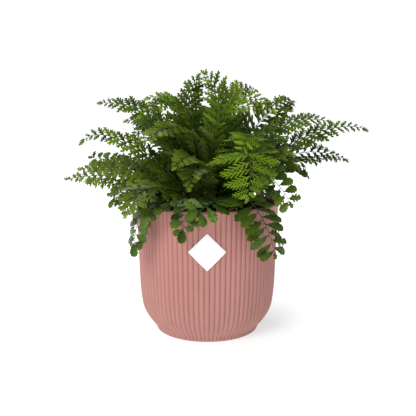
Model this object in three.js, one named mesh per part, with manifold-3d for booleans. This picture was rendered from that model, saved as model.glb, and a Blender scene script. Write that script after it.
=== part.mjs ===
// A mother fern in a ribbed round pot: arching fronds of cut leaflets stand in the soil. A label faces -Y.
// Millimetres, +Z up. The origin is the centre of the flat underside of the pot.
import * as THREE from "three";
import { mergeVertices } from "three/addons/utils/BufferGeometryUtils.js";
import Module from "manifold-3d";

const wasm = await Module();
wasm.setup();

// Driving dimensions of the pot, the label and the soil
const potHeight = 127;
const rimRadius = 70.3;
const rimWall = 3.6;
const rimBand = 2.5; // plain band above the ribs
const floorThickness = 4;
const ribCount = 86;
const ribDepth = 1.1;
const panelFoot = 86; // height where the plain panel behind the label begins
const panelWidth = 14; // as wide as three ribs
const panelDepth = 1.6; // from the crests of the ribs to below the floor of the grooves
const cavitySides = 36;
const labelSide = 24.4; // edge of the square label that stands on its corner
const labelMiddle = 90.5; // height of its centre
const labelThickness = 0.6;
const seat = 0.3; // running gap between pieces that touch
const soilEdge = 118.6; // height of the soil at the wall
const soilMound = 4; // rise of the soil from the wall to the middle
const soilRings = [1, 0.8, 0.55, 0.28]; // rings of its surface, as shares of its radius

// Driving dimensions that all fronds share
const stemHalf = 0.85; // half the width of the square stem
const stemRungs = [0.3, 0.65]; // shares of the stem above the soil where it bends
const rootDepth = 8; // length of the stem below the soil
const collar = 2; // height above the soil to which the stem stays upright
const holeRadius = 2; // from the middle of a stem's square hole to its corners
const lean = 0.18; // how far the stem leans out as it rises, as a share of the way to the arch
const rise = 0.55; // how high it goes before it arches, as a share of the arch's height
const bladeThickness = 0.8;
const ribHalf = 0.9; // half the width of the midrib where the leaflets begin
const leafletAngle = THREE.MathUtils.degToRad(60); // between a leaflet and the midrib
const leafletFoot = 0.45; // length of a leaflet's joint with the midrib, as a share of the leaflets' spacing
const leafletGap = 0.06; // gap between neighbouring leaflets, as a share of their spacing
const leafletBreadth = 0.84; // the most that a leaflet is as broad as it is long
const hang = 0.14; // how far a leaflet's tip hangs below the midrib, as a share of its length
const tipSpan = 1.15; // length of the leaflet at the frond's tip, as a share of the leaflets' spacing
const tipBreadth = 1.1; // its breadth, as a share of the length of a leaflet there

// A leaflet's edge from its rear root round its tip to its front root: [share of length, share of half width]
const leafletKinds = {
  broad: { pairs: 5, edge: [[0.4, -0.95], [0.82, -0.62], [1, 0.1], [0.5, 1]] },
  cut: { pairs: 5, edge: [[0.55, -1], [0.56, -0.3], [1, 0], [0.64, 0.35], [0.58, 1]] },
  fine: { pairs: 6, edge: [[0.5, -0.85], [1, 0.05], [0.5, 0.9]] },
};

// Length of a frond's leaflets as shares of its longest one: at the first pair, its growth from there along
// the blade, and the straight taper from past the middle to the tip
const blade = { first: 0.78, growth: 1, taperFrom: 1.1, taper: 0.98 };

// One row for each frond. az is the way that it points and sway how far it turns aside, in degrees. root is
// the distance of its foot from the pot's axis. arch and tip are the distance and height of the point that
// draws its midrib over, and of its end. wide is the length of its longest leaflet, bare the share of the
// midrib without leaflets, and roll the turn of the blade about the midrib, in degrees.
const fronds = [
  // low fronds that hang over the rim
  { az: -62, sway: 12, root: 24, arch: [80, 156], tip: [94, 89], wide: 20, bare: 0.36, kind: "broad" },
  { az: -145, sway: 6, root: 25, arch: [80, 149], tip: [88, 94], wide: 16, bare: 0.44, kind: "broad" },
  { az: -123, sway: -4, root: 24, arch: [76, 144], tip: [88, 122], wide: 13, bare: 0.52, kind: "broad" },
  { az: -104, root: 24, arch: [74, 146], tip: [86, 112], wide: 13, bare: 0.48, kind: "broad" },
  { az: -72, sway: -24, root: 24, arch: [88, 144], tip: [88, 129], wide: 16, bare: 0.36, kind: "broad" },
  { az: -32, root: 24, arch: [58, 181], tip: [90, 131], wide: 16, bare: 0.42, roll: 50, kind: "broad" },
  { az: 174, root: 29, arch: [75, 153], tip: [95, 127], wide: 20, bare: 0.38, roll: -35, kind: "broad" },
  { az: 130, root: 28, arch: [78, 162], tip: [98, 112], wide: 26, bare: 0.36, kind: "broad" },
  { az: 88, root: 24, arch: [80, 162], tip: [98, 108], wide: 26, bare: 0.36, kind: "broad" },
  { az: 44, root: 28, arch: [78, 162], tip: [98, 112], wide: 26, bare: 0.36, kind: "broad" },
  // spreading fronds above them
  { az: -138, root: 20, arch: [88, 160], tip: [97, 124], wide: 24, bare: 0.34, roll: -15, kind: "cut" },
  { az: 176, root: 22, arch: [64, 162], tip: [140, 148], wide: 25, bare: 0.32, roll: -60, kind: "cut" },
  { az: -174, root: 26, arch: [46, 168], tip: [122, 160], wide: 22, bare: 0.36, roll: -55, kind: "cut" },
  { az: 158, root: 27, arch: [94, 166], tip: [134, 167], wide: 18, bare: 0.34, roll: -55, kind: "broad" },
  { az: -58, sway: -6, root: 19, arch: [94, 212], tip: [80, 138], wide: 32, bare: 0.42, kind: "fine" },
  { az: -51, root: 24, arch: [60, 184], tip: [90, 154], wide: 22, bare: 0.36, roll: 25, kind: "fine" },
  { az: 2, root: 19, arch: [92, 190], tip: [137, 168], wide: 21, bare: 0.34, roll: 55, kind: "cut" },
  { az: 20, root: 26, arch: [88, 180], tip: [110, 154], wide: 20, bare: 0.34, roll: 45, kind: "broad" },
  { az: 64, root: 19, arch: [82, 198], tip: [116, 142], wide: 30, bare: 0.32, kind: "cut" },
  { az: 110, root: 19, arch: [82, 198], tip: [116, 142], wide: 30, bare: 0.32, kind: "cut" },
  { az: -106, root: 14, arch: [36, 190], tip: [98, 168], wide: 21, bare: 0.38, roll: -25, kind: "fine" },
  // arching fronds of the middle
  { az: -164, root: 17, arch: [108, 210], tip: [120, 186], wide: 22, bare: 0.38, roll: -55, kind: "fine" },
  { az: -146, root: 15, arch: [42, 224], tip: [82, 192], wide: 20, bare: 0.38, roll: -40, kind: "fine" },
  { az: -46, sway: -26, root: 14, arch: [90, 222], tip: [86, 176], wide: 26, bare: 0.44, kind: "fine" },
  { az: -8, root: 15, arch: [124, 212], tip: [150, 198], wide: 25, bare: 0.36, roll: 55, kind: "fine" },
  { az: 154, root: 20, arch: [54, 216], tip: [95, 205], wide: 20, bare: 0.38, roll: -50, kind: "fine" },
  { az: 108, root: 14, arch: [80, 232], tip: [108, 172], wide: 28, bare: 0.38, kind: "fine" },
  { az: 72, root: 15, arch: [80, 222], tip: [110, 172], wide: 28, bare: 0.4, kind: "fine" },
  { az: 38, root: 21, arch: [76, 216], tip: [106, 166], wide: 26, bare: 0.38, roll: 35, kind: "fine" },
  { az: -100, sway: -27, root: 8, arch: [30, 228], tip: [102, 184], wide: 26, bare: 0.4, roll: -24, kind: "cut" },
  { az: -38, root: 6, arch: [24, 240], tip: [66, 212], wide: 18, bare: 0.4, roll: 40, kind: "fine" },
  // high fronds
  { az: 175, root: 13, arch: [46, 228], tip: [106, 223], wide: 22, bare: 0.4, roll: -58, kind: "fine" },
  { az: -11, root: 10, arch: [76, 218], tip: [117, 205], wide: 22, bare: 0.38, roll: 55, kind: "fine" },
  { az: -38, root: 0, arch: [22, 256], tip: [76, 215], wide: 18, bare: 0.44, roll: 55, kind: "fine" },
  { az: 32, root: 11, arch: [90, 232], tip: [107, 226], wide: 20, bare: 0.46, roll: 50, kind: "cut" },
  { az: -172, root: 10, arch: [20, 240], tip: [58, 227], wide: 21, bare: 0.5, roll: -45, kind: "fine" },
  { az: 87, root: 9, arch: [60, 252], tip: [88, 200], wide: 26, bare: 0.5, kind: "fine" },
  { az: 140, root: 20, arch: [34, 226], tip: [12, 249], wide: 22, bare: 0.5, roll: -55, kind: "fine" },
  { az: 200, root: -19, arch: [-22, 240], tip: [4, 251], wide: 21, bare: 0.5, roll: -110, kind: "fine" },
  { az: 42, root: 6, arch: [18, 250], tip: [70, 237], wide: 18, bare: 0.5, roll: 60, kind: "fine" },
  { az: -138, root: 6, arch: [20, 250], tip: [80, 210], wide: 22, bare: 0.46, roll: -45, kind: "fine" },
  // short fronds that fill the middle
  { az: -100, root: 19, arch: [66, 182], tip: [86, 150], wide: 24, bare: 0.38, kind: "cut" },
  { az: -160, root: 28, arch: [60, 144], tip: [90, 139], wide: 15, bare: 0.36, roll: -30, kind: "broad" },
];

// Helpers between three.js geometries and manifold-3d solids
function toSolid(geometry) {
  const bare = geometry.clone();
  bare.deleteAttribute("normal");
  bare.deleteAttribute("uv");
  const merged = mergeVertices(bare, 1e-4);
  return new wasm.Manifold(
    new wasm.Mesh({
      numProp: 3,
      vertProperties: merged.attributes.position.array,
      triVerts: new Uint32Array(merged.index.array),
    }),
  );
}

function toGeometry(solid) {
  const mesh = solid.getMesh();
  const geometry = new THREE.BufferGeometry();
  geometry.setAttribute("position", new THREE.BufferAttribute(mesh.vertProperties, 3));
  geometry.setIndex(new THREE.BufferAttribute(mesh.triVerts, 1));
  geometry.computeVertexNormals();
  return geometry;
}

function lathe(profile, sides) {
  const points = profile.map(([radius, z]) => new THREE.Vector2(radius, z));
  return new THREE.LatheGeometry(points, sides).rotateX(Math.PI / 2);
}

const materials = {
  pot: new THREE.MeshStandardMaterial({ color: "#c98f84", roughness: 0.5, metalness: 0 }),
  label: new THREE.MeshStandardMaterial({ color: "#fafafa", roughness: 0.6, metalness: 0 }),
  soil: new THREE.MeshStandardMaterial({ color: "#2a201a", roughness: 1, metalness: 0 }),
  broad: new THREE.MeshStandardMaterial({ color: "#2f5a1c", roughness: 0.4, metalness: 0 }),
  cut: new THREE.MeshStandardMaterial({ color: "#4a7424", roughness: 0.45, metalness: 0 }),
  fine: new THREE.MeshStandardMaterial({ color: "#5c8a22", roughness: 0.5, metalness: 0 }),
};

const plant = new THREE.Group();

function addPiece(name, geometry, material) {
  const mesh = new THREE.Mesh(geometry, material);
  mesh.name = name;
  plant.add(mesh);
}

// The pot's outer wall as [crest radius, height, share of the full rib depth], foot to rim
const wallRows = [
  [51, 0, 0.5],
  [51.6, 4, 0.8],
  [58.6, 13, 1],
  [64.5, 24, 1],
  [67.3, 45, 1],
  [rimRadius - 0.2, potHeight - rimBand - 2, 1],
  [rimRadius, potHeight - rimBand, 0],
  [rimRadius - 0.6, potHeight, 0],
];

// The cavity's wall as [radius, height], floor to rim
const cavityRows = [
  [46, floorThickness],
  [55.4, 14],
  [62.6, 38],
  [rimRadius - rimWall, potHeight],
];

function radiusOf(rows, z) {
  const above = Math.max(rows.findIndex((row) => row[1] >= z), 1);
  const [r0, z0] = rows[above - 1];
  const [r1, z1] = rows[above];
  return r0 + ((r1 - r0) * (z - z0)) / (z1 - z0);
}

// Every other column of the wall is a groove
function ribbedWall() {
  const outline = [[0, 0], ...wallRows.map(([radius, z]) => [radius, z]), [0, potHeight]];
  const geometry = lathe(outline, ribCount * 2);
  const position = geometry.attributes.position;
  for (let i = 0; i < position.count; i++) {
    const row = i % outline.length;
    const column = Math.floor(i / outline.length);
    if (row === 0 || row > wallRows.length || column % 2 === 0) continue;
    const [radius, , share] = wallRows[row - 1];
    const scale = 1 - (ribDepth * share) / radius;
    position.setXY(i, position.getX(i) * scale, position.getY(i) * scale);
  }
  return toSolid(geometry);
}

// A ring round the pot that follows the crests of the ribs, from one height to another
function crestBand(bottom, top, inner, outer) {
  const corners = [[inner, bottom], [outer, bottom], [outer, top], [inner, top], [inner, bottom]];
  return toSolid(lathe(corners.map(([lift, z]) => [radiusOf(wallRows, z) + lift, z]), ribCount));
}

function makePot() {
  const [topRadius] = cavityRows[cavityRows.length - 1];
  const above = potHeight + 2;
  const cavity = toSolid(
    lathe([[0, floorThickness], ...cavityRows, [topRadius, above], [0, above]], cavitySides),
  );
  const panelTop = potHeight - rimBand - 0.5;
  const ring = crestBand(panelFoot, panelTop, -panelDepth, -0.05);
  const front = new THREE.BoxGeometry(panelWidth, rimRadius, potHeight * 2).translate(0, -rimRadius, 0);
  const pot = ribbedWall().add(ring.intersect(toSolid(front))).subtract(cavity);
  addPiece("pot", toGeometry(pot), materials.pot);
}

// A square of card that stands on its corner, bent round the crests of the ribs
function makeLabel() {
  const half = labelSide / Math.SQRT2;
  const band = crestBand(labelMiddle - half, labelMiddle + half, seat, seat + labelThickness);
  const square = new THREE.BoxGeometry(labelSide, rimRadius, labelSide);
  square.rotateY(Math.PI / 4).translate(0, -rimRadius, labelMiddle);
  addPiece("label", toGeometry(band.intersect(toSolid(square))), materials.label);
}

// The soil's surface: a low mound with clods that die out at the wall
function soilHeight(x, y) {
  const share = Math.hypot(x, y) / (rimRadius - rimWall);
  const clods = 0.9 * Math.sin(x / 5.1 + 1.3) * Math.cos(y / 4.3) + 0.5 * Math.sin((x + y) / 2.9);
  return soilEdge + soilMound * (1 - share ** 2) + clods * (1 - share ** 6);
}

function makeSoil(roots) {
  const side = cavityRows.slice(0, -1).map(([radius, z]) => [radius - seat, z + seat]);
  const edge = radiusOf(cavityRows, soilEdge) - seat;
  const surface = soilRings.map((share) => [edge * share, soilEdge]);
  const geometry = lathe([[0, floorThickness + seat], ...side, ...surface, [0, soilEdge]], cavitySides);
  const position = geometry.attributes.position;
  for (let i = 0; i < position.count; i++)
    if (position.getZ(i) > soilEdge - 1)
      position.setZ(i, soilHeight(position.getX(i), position.getY(i)));
  let soil = toSolid(geometry);
  const depth = rootDepth * 2; // high enough to pass the soil's surface
  for (const { foot, heading } of roots) {
    const hole = new THREE.CylinderGeometry(holeRadius, holeRadius, depth, 4);
    hole.rotateX(Math.PI / 2).rotateZ(Math.PI / 4 + heading);
    hole.translate(foot.x, foot.y, foot.z - seat + depth / 2);
    soil = soil.subtract(toSolid(hole));
  }
  addPiece("soil", toGeometry(soil), materials.soil);
}

// A frond's midrib: it stands straight up in the soil and arches over, turning aside a little on its way out
class Midrib extends THREE.Curve {
  constructor({ az, sway = 0, root, arch: [bend, crest], tip: [reach, height] }) {
    super();
    const at = (distance, z, share) => {
      const angle = THREE.MathUtils.degToRad(az + sway * share);
      return new THREE.Vector3(distance * Math.cos(angle), distance * Math.sin(angle), z);
    };
    const middle = THREE.MathUtils.degToRad(az + sway / 2);
    this.side = new THREE.Vector3(-Math.sin(middle), Math.cos(middle), 0);
    this.heading = THREE.MathUtils.degToRad(az);
    const start = at(root, 0, 0);
    const soilTop = soilHeight(start.x, start.y);
    const base = soilTop + collar;
    this.foot = start.clone().setZ(soilTop - rootDepth);
    this.arch = new THREE.CubicBezierCurve3(
      start.setZ(base),
      at(root + lean * (bend - root), base + rise * (crest - base), 0),
      at(bend, crest, 0.4),
      at(reach, height, 1),
    );
    const upright = rootDepth + collar;
    this.rootShare = upright / (upright + this.arch.getLength());
  }

  getPoint(t) {
    if (t < this.rootShare) return this.foot.clone().lerp(this.arch.getPoint(0), t / this.rootShare);
    return this.arch.getPointAt((t - this.rootShare) / (1 - this.rootShare));
  }
}

// The frond laid out flat. u runs along the midrib from the start of the blade and v across it. The midrib is
// a ladder of quads, and each leaflet's outline grows from its own stretch of the midrib's edge.
class Pattern {
  constructor(stem, length, wide, { pairs, edge }) {
    this.points = [];
    this.triangles = [];
    this.leftEdge = [];
    this.rightEdge = [];
    this.length = length;
    this.wide = wide;
    this.edge = edge;
    this.spacing = length / (pairs + 0.9);
    const leaning = stem - rootDepth - collar;
    const stemEnds = [stem, leaning, ...stemRungs.map((share) => leaning * (1 - share)), this.spacing * 0.3];
    for (const below of stemEnds) this.rung(-below, stemHalf, stemHalf);
    for (let k = 0; k < pairs; k++) this.pair(this.spacing * (k + 0.1));
    this.tip();
  }

  add(u, v, lift = bladeThickness / 2) {
    this.points.push({ u, v, lift });
    return this.points.length - 1;
  }

  rung(u, half, lift) {
    const left = this.add(u, half, lift);
    const right = this.add(u, -half, lift);
    if (this.leftEdge.length) {
      const [lastLeft, lastRight] = [this.leftEdge.at(-1), this.rightEdge.at(-1)];
      this.triangles.push([lastLeft, lastRight, right], [lastLeft, right, left]);
    }
    this.leftEdge.push(left);
    this.rightEdge.push(right);
  }

  reachAt(u) {
    const share = u / this.length;
    return this.wide * Math.min(blade.first + blade.growth * share, blade.taperFrom - blade.taper * share, 1);
  }

  pair(u) {
    const half = ribHalf * (1 - (0.5 * u) / this.length);
    this.rung(u, half);
    const rearLeft = this.leftEdge.at(-1);
    const rearRight = this.rightEdge.at(-1);
    this.rung(u + this.spacing * leafletFoot, half);
    this.leaflet(u, 1, half, this.leftEdge, rearLeft);
    this.leaflet(u, -1, half, this.rightEdge, rearRight);
  }

  leaflet(u, sign, half, side, rear) {
    const size = this.reachAt(u);
    const room = (1 - leafletGap) * this.spacing * Math.sin(leafletAngle);
    const halfBreadth = Math.min(room, leafletBreadth * size) / 2;
    const middle = u + (this.spacing * leafletFoot) / 2;
    const front = side.pop();
    const rim = this.edge.map(([along, across]) => {
      const [a, b] = [along * size, across * halfBreadth];
      return this.add(
        middle + a * Math.cos(leafletAngle) + b * Math.sin(leafletAngle),
        sign * (half + a * Math.sin(leafletAngle) - b * Math.cos(leafletAngle)),
      );
    });
    const corners = [rear, ...rim, front];
    const flat = corners.map((k) => new THREE.Vector2(this.points[k].u, this.points[k].v));
    for (const corner of THREE.ShapeUtils.triangulateShape(flat, []))
      this.triangles.push(corner.map((k) => corners[k]));
    side.push(...rim, front);
  }

  tip() {
    const span = this.spacing * tipSpan;
    const shoulder = this.length - span;
    this.rung(shoulder, ribHalf / 2);
    const half = (this.reachAt(shoulder) * tipBreadth) / 2;
    const middle = shoulder + span * 0.43;
    const [lastLeft, lastRight] = [this.leftEdge.at(-1), this.rightEdge.at(-1)];
    const left = this.add(middle, half);
    const end = this.add(this.length, 0);
    const right = this.add(middle, -half);
    this.triangles.push([lastLeft, lastRight, right], [lastLeft, right, left], [left, right, end]);
    this.leftEdge.push(left, end);
    this.rightEdge.push(right);
  }
}

// Bends the pattern along the midrib and gives it its thickness, with the same triangles on both faces
function frondSolid(midrib, row) {
  const total = midrib.getLength();
  const stem = total * row.bare;
  const pattern = new Pattern(stem, total - stem, row.wide, leafletKinds[row.kind]);
  const { points, triangles } = pattern;
  const roll = THREE.MathUtils.degToRad(row.roll ?? 0);
  const place = ({ u, v, lift }, face) => {
    const along = Math.min((u + stem) / total, 1);
    const extra = Math.max(u + stem - total, 0);
    const ahead = midrib.getTangentAt(along);
    const side = midrib.side.clone().projectOnPlane(ahead).normalize().applyAxisAngle(ahead, roll);
    const up = new THREE.Vector3().crossVectors(ahead, side);
    return midrib
      .getPointAt(along)
      .addScaledVector(ahead, extra)
      .addScaledVector(side, v)
      .addScaledVector(up, face * lift - (hang * v * v) / row.wide);
  };
  const vertices = [1, -1].flatMap((face) => points.flatMap((point) => place(point, face).toArray()));
  const count = points.length;
  const index = [];
  for (const [a, b, c] of triangles) {
    const [A, B, C] = [points[a], points[b], points[c]];
    const area = (B.u - A.u) * (C.v - A.v) - (C.u - A.u) * (B.v - A.v);
    const [p, q] = area > 0 ? [b, c] : [c, b];
    index.push(a, p, q, a + count, q + count, p + count);
  }
  const boundary = [...pattern.leftEdge, ...pattern.rightEdge.reverse()];
  boundary.forEach((a, k) => {
    const b = boundary[(k + 1) % boundary.length];
    index.push(a, b, a + count, b, b + count, a + count);
  });
  const geometry = new THREE.BufferGeometry();
  geometry.setAttribute("position", new THREE.Float32BufferAttribute(vertices, 3));
  geometry.setIndex(index);
  return geometry;
}

// The midrib comes back, because the soil needs the place of the stem's foot
function makeFrond(row, index) {
  const midrib = new Midrib(row);
  const name = "frond_" + String(index + 1).padStart(2, "0");
  addPiece(name, frondSolid(midrib, row), materials[row.kind]);
  return midrib;
}

makePot();
makeLabel();
makeSoil(fronds.map(makeFrond));

export default plant;
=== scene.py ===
import math
import random

import bmesh
import bpy
import numpy as np
from mathutils import Matrix, Vector


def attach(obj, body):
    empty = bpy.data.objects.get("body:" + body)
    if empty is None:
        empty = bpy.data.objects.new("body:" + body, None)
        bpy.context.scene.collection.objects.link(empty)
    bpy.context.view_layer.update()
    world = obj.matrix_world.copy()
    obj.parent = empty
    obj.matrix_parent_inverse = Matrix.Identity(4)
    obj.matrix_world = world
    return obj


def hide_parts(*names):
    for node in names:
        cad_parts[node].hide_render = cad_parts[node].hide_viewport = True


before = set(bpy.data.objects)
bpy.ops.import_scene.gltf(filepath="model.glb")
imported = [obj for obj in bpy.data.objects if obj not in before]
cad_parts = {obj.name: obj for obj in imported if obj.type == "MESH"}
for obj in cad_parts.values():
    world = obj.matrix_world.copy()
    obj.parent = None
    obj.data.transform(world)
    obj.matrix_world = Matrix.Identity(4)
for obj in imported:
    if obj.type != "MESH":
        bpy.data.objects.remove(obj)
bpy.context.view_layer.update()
mm = 0.001
print("frame loaded:", len(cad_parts), "nodes")


# Shared hand tools

def focus(piece):  # makes it the only selected piece and the active one
    bpy.ops.object.select_all(action="DESELECT")
    piece.select_set(True)
    bpy.context.view_layer.objects.active = piece


def startEdit(piece):
    focus(piece)
    bpy.ops.object.mode_set(mode="EDIT")
    bpy.ops.mesh.select_mode(type="VERT")
    bpy.ops.mesh.select_all(action="DESELECT")


def endEdit():
    bpy.ops.object.mode_set(mode="OBJECT")


def pick(piece, test):  # in edit mode, selects the vertices whose place passes the test
    bpy.ops.mesh.select_all(action="DESELECT")
    mesh = bmesh.from_edit_mesh(piece.data)
    for vertex in mesh.verts:
        vertex.select = bool(test(vertex.co))
    mesh.select_flush(True)
    bmesh.update_edit_mesh(piece.data)


def pickNearest(piece, points):
    bpy.ops.mesh.select_all(action="DESELECT")
    mesh = bmesh.from_edit_mesh(piece.data)
    for point in points:
        min(mesh.verts, key=lambda vertex: (vertex.co - point).length_squared).select = True
    mesh.select_flush(True)
    bmesh.update_edit_mesh(piece.data)


def extrude(move):
    bpy.ops.mesh.extrude_region_move(TRANSFORM_OT_translate={"value": tuple(move)})


def settle(piece):  # the object's own place goes into its mesh
    focus(piece)
    bpy.ops.object.transform_apply(location=True, rotation=True, scale=True)


def startDisc(radius, height, count):  # a flat disc in edit mode, all of it selected
    bpy.ops.object.select_all(action="DESELECT")
    bpy.ops.mesh.primitive_circle_add(
        vertices=count, radius=radius * mm, fill_type="NGON", location=(0, 0, height * mm))
    disc = bpy.context.object
    settle(disc)
    startEdit(disc)
    bpy.ops.mesh.select_all(action="SELECT")
    return disc


def drawWall(rows):  # takes the selected rim through (radius, height) rows, in millimetres
    for k, ((radius, height), (nextRadius, nextHeight)) in enumerate(zip(rows, rows[1:])):
        rise = (0, 0, (nextHeight - height) * mm)
        if k:
            extrude(rise)
        else:
            bpy.ops.mesh.extrude_edges_move(TRANSFORM_OT_translate={"value": rise})
        share = nextRadius / radius
        bpy.ops.transform.resize(value=(share, share, 1), center_override=(0, 0, 0))


def applyModifiers(piece):
    focus(piece)
    for modifier in list(piece.modifiers):
        bpy.ops.object.modifier_apply(modifier=modifier.name)


def smooth(piece, degrees):
    focus(piece)
    bpy.ops.object.shade_smooth_by_angle(angle=math.radians(degrees))


def joinPieces(parts, name):
    bpy.ops.object.select_all(action="DESELECT")
    for part in parts:
        part.select_set(True)
    bpy.context.view_layer.objects.active = parts[0]
    if len(parts) > 1:
        bpy.ops.object.join()
    parts[0].name = name
    parts[0].data.name = name
    return parts[0]


def coordsOf(piece):
    flat = np.empty(len(piece.data.vertices) * 3)
    piece.data.vertices.foreach_get("co", flat)
    return flat.reshape(-1, 3)


def setCoords(piece, coords):
    piece.data.vertices.foreach_set("co", np.asarray(coords, float).ravel())
    piece.data.update()


def copyOf(piece):  # a copy with its own mesh
    twin = piece.copy()
    twin.data = piece.data.copy()
    bpy.context.scene.collection.objects.link(twin)
    return twin


def setTone(piece, value, name="leafTone"):
    attribute = piece.data.attributes.get(name) or piece.data.attributes.new(name, "FLOAT", "POINT")
    attribute.data.foreach_set("value", np.full(len(piece.data.vertices), value, np.float32))


def between(rows, x):  # straight lines through (x, value) rows
    return float(np.interp(x, [row[0] for row in rows], [row[1] for row in rows]))


# Shared material tools

def newMaterial(name):
    material = bpy.data.materials.new(name)
    material.use_nodes = True
    tree = material.node_tree
    return material, tree, tree.nodes["Principled BSDF"]


def node(tree, kind, inputs=(), **settings):
    made = tree.nodes.new("ShaderNode" + kind)
    for key, value in settings.items():
        setattr(made, key, value)
    for socket, value in dict(inputs).items():
        if isinstance(value, bpy.types.NodeSocket):
            tree.links.new(value, made.inputs[socket])
        else:
            made.inputs[socket].default_value = value
    return made


def objectPlace(tree):
    return node(tree, "TexCoord").outputs["Object"]


def noise(tree, place, scale, detail=3.0, roughness=0.55):
    inputs = {"Vector": place, "Scale": scale, "Detail": detail, "Roughness": roughness}
    return node(tree, "TexNoise", inputs).outputs["Fac"]


def math2(tree, operation, first, second, clamp=False):
    made = node(tree, "Math", {0: first, 1: second}, operation=operation, use_clamp=clamp)
    return made.outputs[0]


def ramp(tree, factor, stops):
    made = node(tree, "ValToRGB", {"Fac": factor})
    elements = made.color_ramp.elements
    while len(elements) < len(stops):
        elements.new(0.5)
    for element, (place, colour) in zip(elements, stops):
        element.position = place
        element.color = (*colour, 1) if len(colour) == 3 else colour
    return made.outputs["Color"]


def grey(value):
    return (value, value, value)


def stretch(tree, value, low, high, newLow, newHigh):
    inputs = {"Value": value, "From Min": low, "From Max": high, "To Min": newLow, "To Max": newHigh}
    return node(tree, "MapRange", inputs).outputs["Result"]


def mixColour(tree, factor, first, second, blend="MIX"):
    made = node(tree, "Mix", {"Factor": factor}, data_type="RGBA", blend_type=blend)
    for socket, value in ((6, first), (7, second)):
        if isinstance(value, bpy.types.NodeSocket):
            tree.links.new(value, made.inputs[socket])
        else:
            made.inputs[socket].default_value = (*value, 1)
    return made.outputs[2]


def bump(tree, shader, height, strength, distance):
    inputs = {"Height": height, "Strength": strength, "Distance": distance}
    tree.links.new(node(tree, "Bump", inputs).outputs["Normal"], shader.inputs["Normal"])


# View, lights and floor

viewValues = {
    "camera": (0.0007, -0.5867, 0.2084), "pitch": 8.56, "lens": 51.63, "sensor": 36.0,
    # place, size and power of each soft light
    "lights": {
        "keyLight": ((-0.85, -1.35, 1.3), 1.3, 21.5),
        "fillLight": ((-0.7, -1.6, 0.45), 1.6, 5),
        "backLight": ((-0.5, 0.9, 1.6), 1.0, 9),
    },
    "world": 0.23, "sky": 1.05,  # what the white surroundings light with, and how bright they look
    "floorSize": 14.0, "paintedShadowReach": (0.07, 0.6),
    # painted light: the floor glows and lights the plant from below; next to the pot the glow is dimmer as a
    # painted shadow, and cool there, where the pot's pink would tint that shadow
    "paintedFloorGlow": [(0.0, (0.53, 0.578, 0.583)), (0.12, (0.718, 0.73, 0.732)), (1.0, (0.97, 0.97, 0.97))],
}


def addSoftLight(name, place, size, power, aim=(0, 0, 0.13)):
    bpy.ops.object.light_add(type="AREA", location=place)
    light = bpy.context.object
    light.name = name
    light.data.shape = "DISK"
    light.data.size = size
    light.data.energy = power
    light.rotation_euler = (Vector(aim) - Vector(place)).to_track_quat("-Z", "Y").to_euler()


def makeStudio(values):
    bpy.ops.object.select_all(action="DESELECT")
    bpy.ops.object.camera_add(location=values["camera"], rotation=(math.radians(90 - values["pitch"]), 0, 0))
    camera = bpy.context.object
    camera.data.lens = values["lens"]
    camera.data.sensor_width = values["sensor"]
    camera.data.clip_start = 0.01
    bpy.context.scene.camera = camera
    for name, row in values["lights"].items():
        addSoftLight(name, *row)
    world = bpy.data.worlds.new("studioWorld")
    bpy.context.scene.world = world
    world.use_nodes = True
    tree = world.node_tree
    lit = tree.nodes["Background"]
    lit.inputs["Color"].default_value = (1, 1, 1, 1)
    lit.inputs["Strength"].default_value = values["world"]
    seen = node(tree, "Background", {"Color": (1, 1, 1, 1), "Strength": values["sky"]})
    path = node(tree, "LightPath")
    both = node(tree, "MixShader", {0: path.outputs["Is Camera Ray"], 1: lit.outputs[0], 2: seen.outputs[0]})
    tree.links.new(both.outputs[0], tree.nodes["World Output"].inputs["Surface"])
    bpy.context.scene.view_settings.view_transform = "Standard"
    bpy.context.scene.view_settings.look = "None"


def makeFloor(values):
    bpy.ops.mesh.primitive_circle_add(vertices=96, radius=values["floorSize"] / 2, fill_type="NGON")
    floor = bpy.context.object
    floor.name = "studioFloor"
    material, tree, shader = newMaterial("floorWhite")
    place = objectPlace(tree)
    speckle = noise(tree, place, 6)
    colour = ramp(tree, speckle, [(0.3, grey(0.72)), (0.7, grey(0.76))])
    tree.links.new(colour, shader.inputs["Base Color"])
    shader.inputs["Roughness"].default_value = 0.9
    shader.inputs["Specular IOR Level"].default_value = 0.1
    # painted light: the floor's own glow, which is not a lamp
    shader.inputs["Emission Strength"].default_value = 1.0
    distance = node(tree, "VectorMath", {0: place}, operation="LENGTH").outputs["Value"]
    reach = stretch(tree, distance, *values["paintedShadowReach"], 0.0, 1.0)
    paintedGlow = ramp(tree, reach, values["paintedFloorGlow"])
    tree.links.new(paintedGlow, shader.inputs["Emission Color"])  # painted glow: white out to the horizon, dimmer next to the pot as a painted shadow
    floor.data.materials.append(material)


makeStudio(viewValues)
makeFloor(viewValues)
print("studio ready")


# The ribbed pot

potValues = {
    "ribs": 86, "columns": 8,  # columns of vertices for each rib
    "ribDepth": 1.35,
    # share of the depth at each share of the way from crest to groove to the next crest
    "grooveShape": [(0.0, 0.0), (0.125, 0.04), (0.25, 0.14), (0.375, 0.46), (0.5, 1.0)],
    # rows of the whole wall as (radius, height): underside, outside up to the rim, and down the inside
    "rows": [
        (47.6, 1.2), (48.6, 0.3), (49.8, 0.0), (50.6, 0.3), (51.0, 1.2), (51.3, 3.4), (52.2, 4.8),
        (54.4, 7.2), (57.0, 10.4), (59.7, 14.2), (62.0, 18.0), (63.9, 22.2), (65.1, 26.5), (65.9, 32.0),
        (66.6, 38.0), (67.2, 45.0), (67.6, 54.0), (67.9, 64.0), (68.3, 75.0), (68.65, 85.4), (68.68, 86.2),
        (69.1, 98.0), (69.6, 111.0), (69.95, 123.0), (70.15, 123.7), (70.3, 125.9), (70.15, 126.6),
        (69.6, 127.0), (67.7, 127.0), (67.1, 126.7), (66.8, 126.0), (66.3, 116.0), (62.6, 38.0),
        (55.4, 14.0), (46.0, 4.0),
    ],
    "ribbed": (0.1, 123.2), "middle": 60, "panel": 7.0, "panelFoot": 85.8,
}


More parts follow.
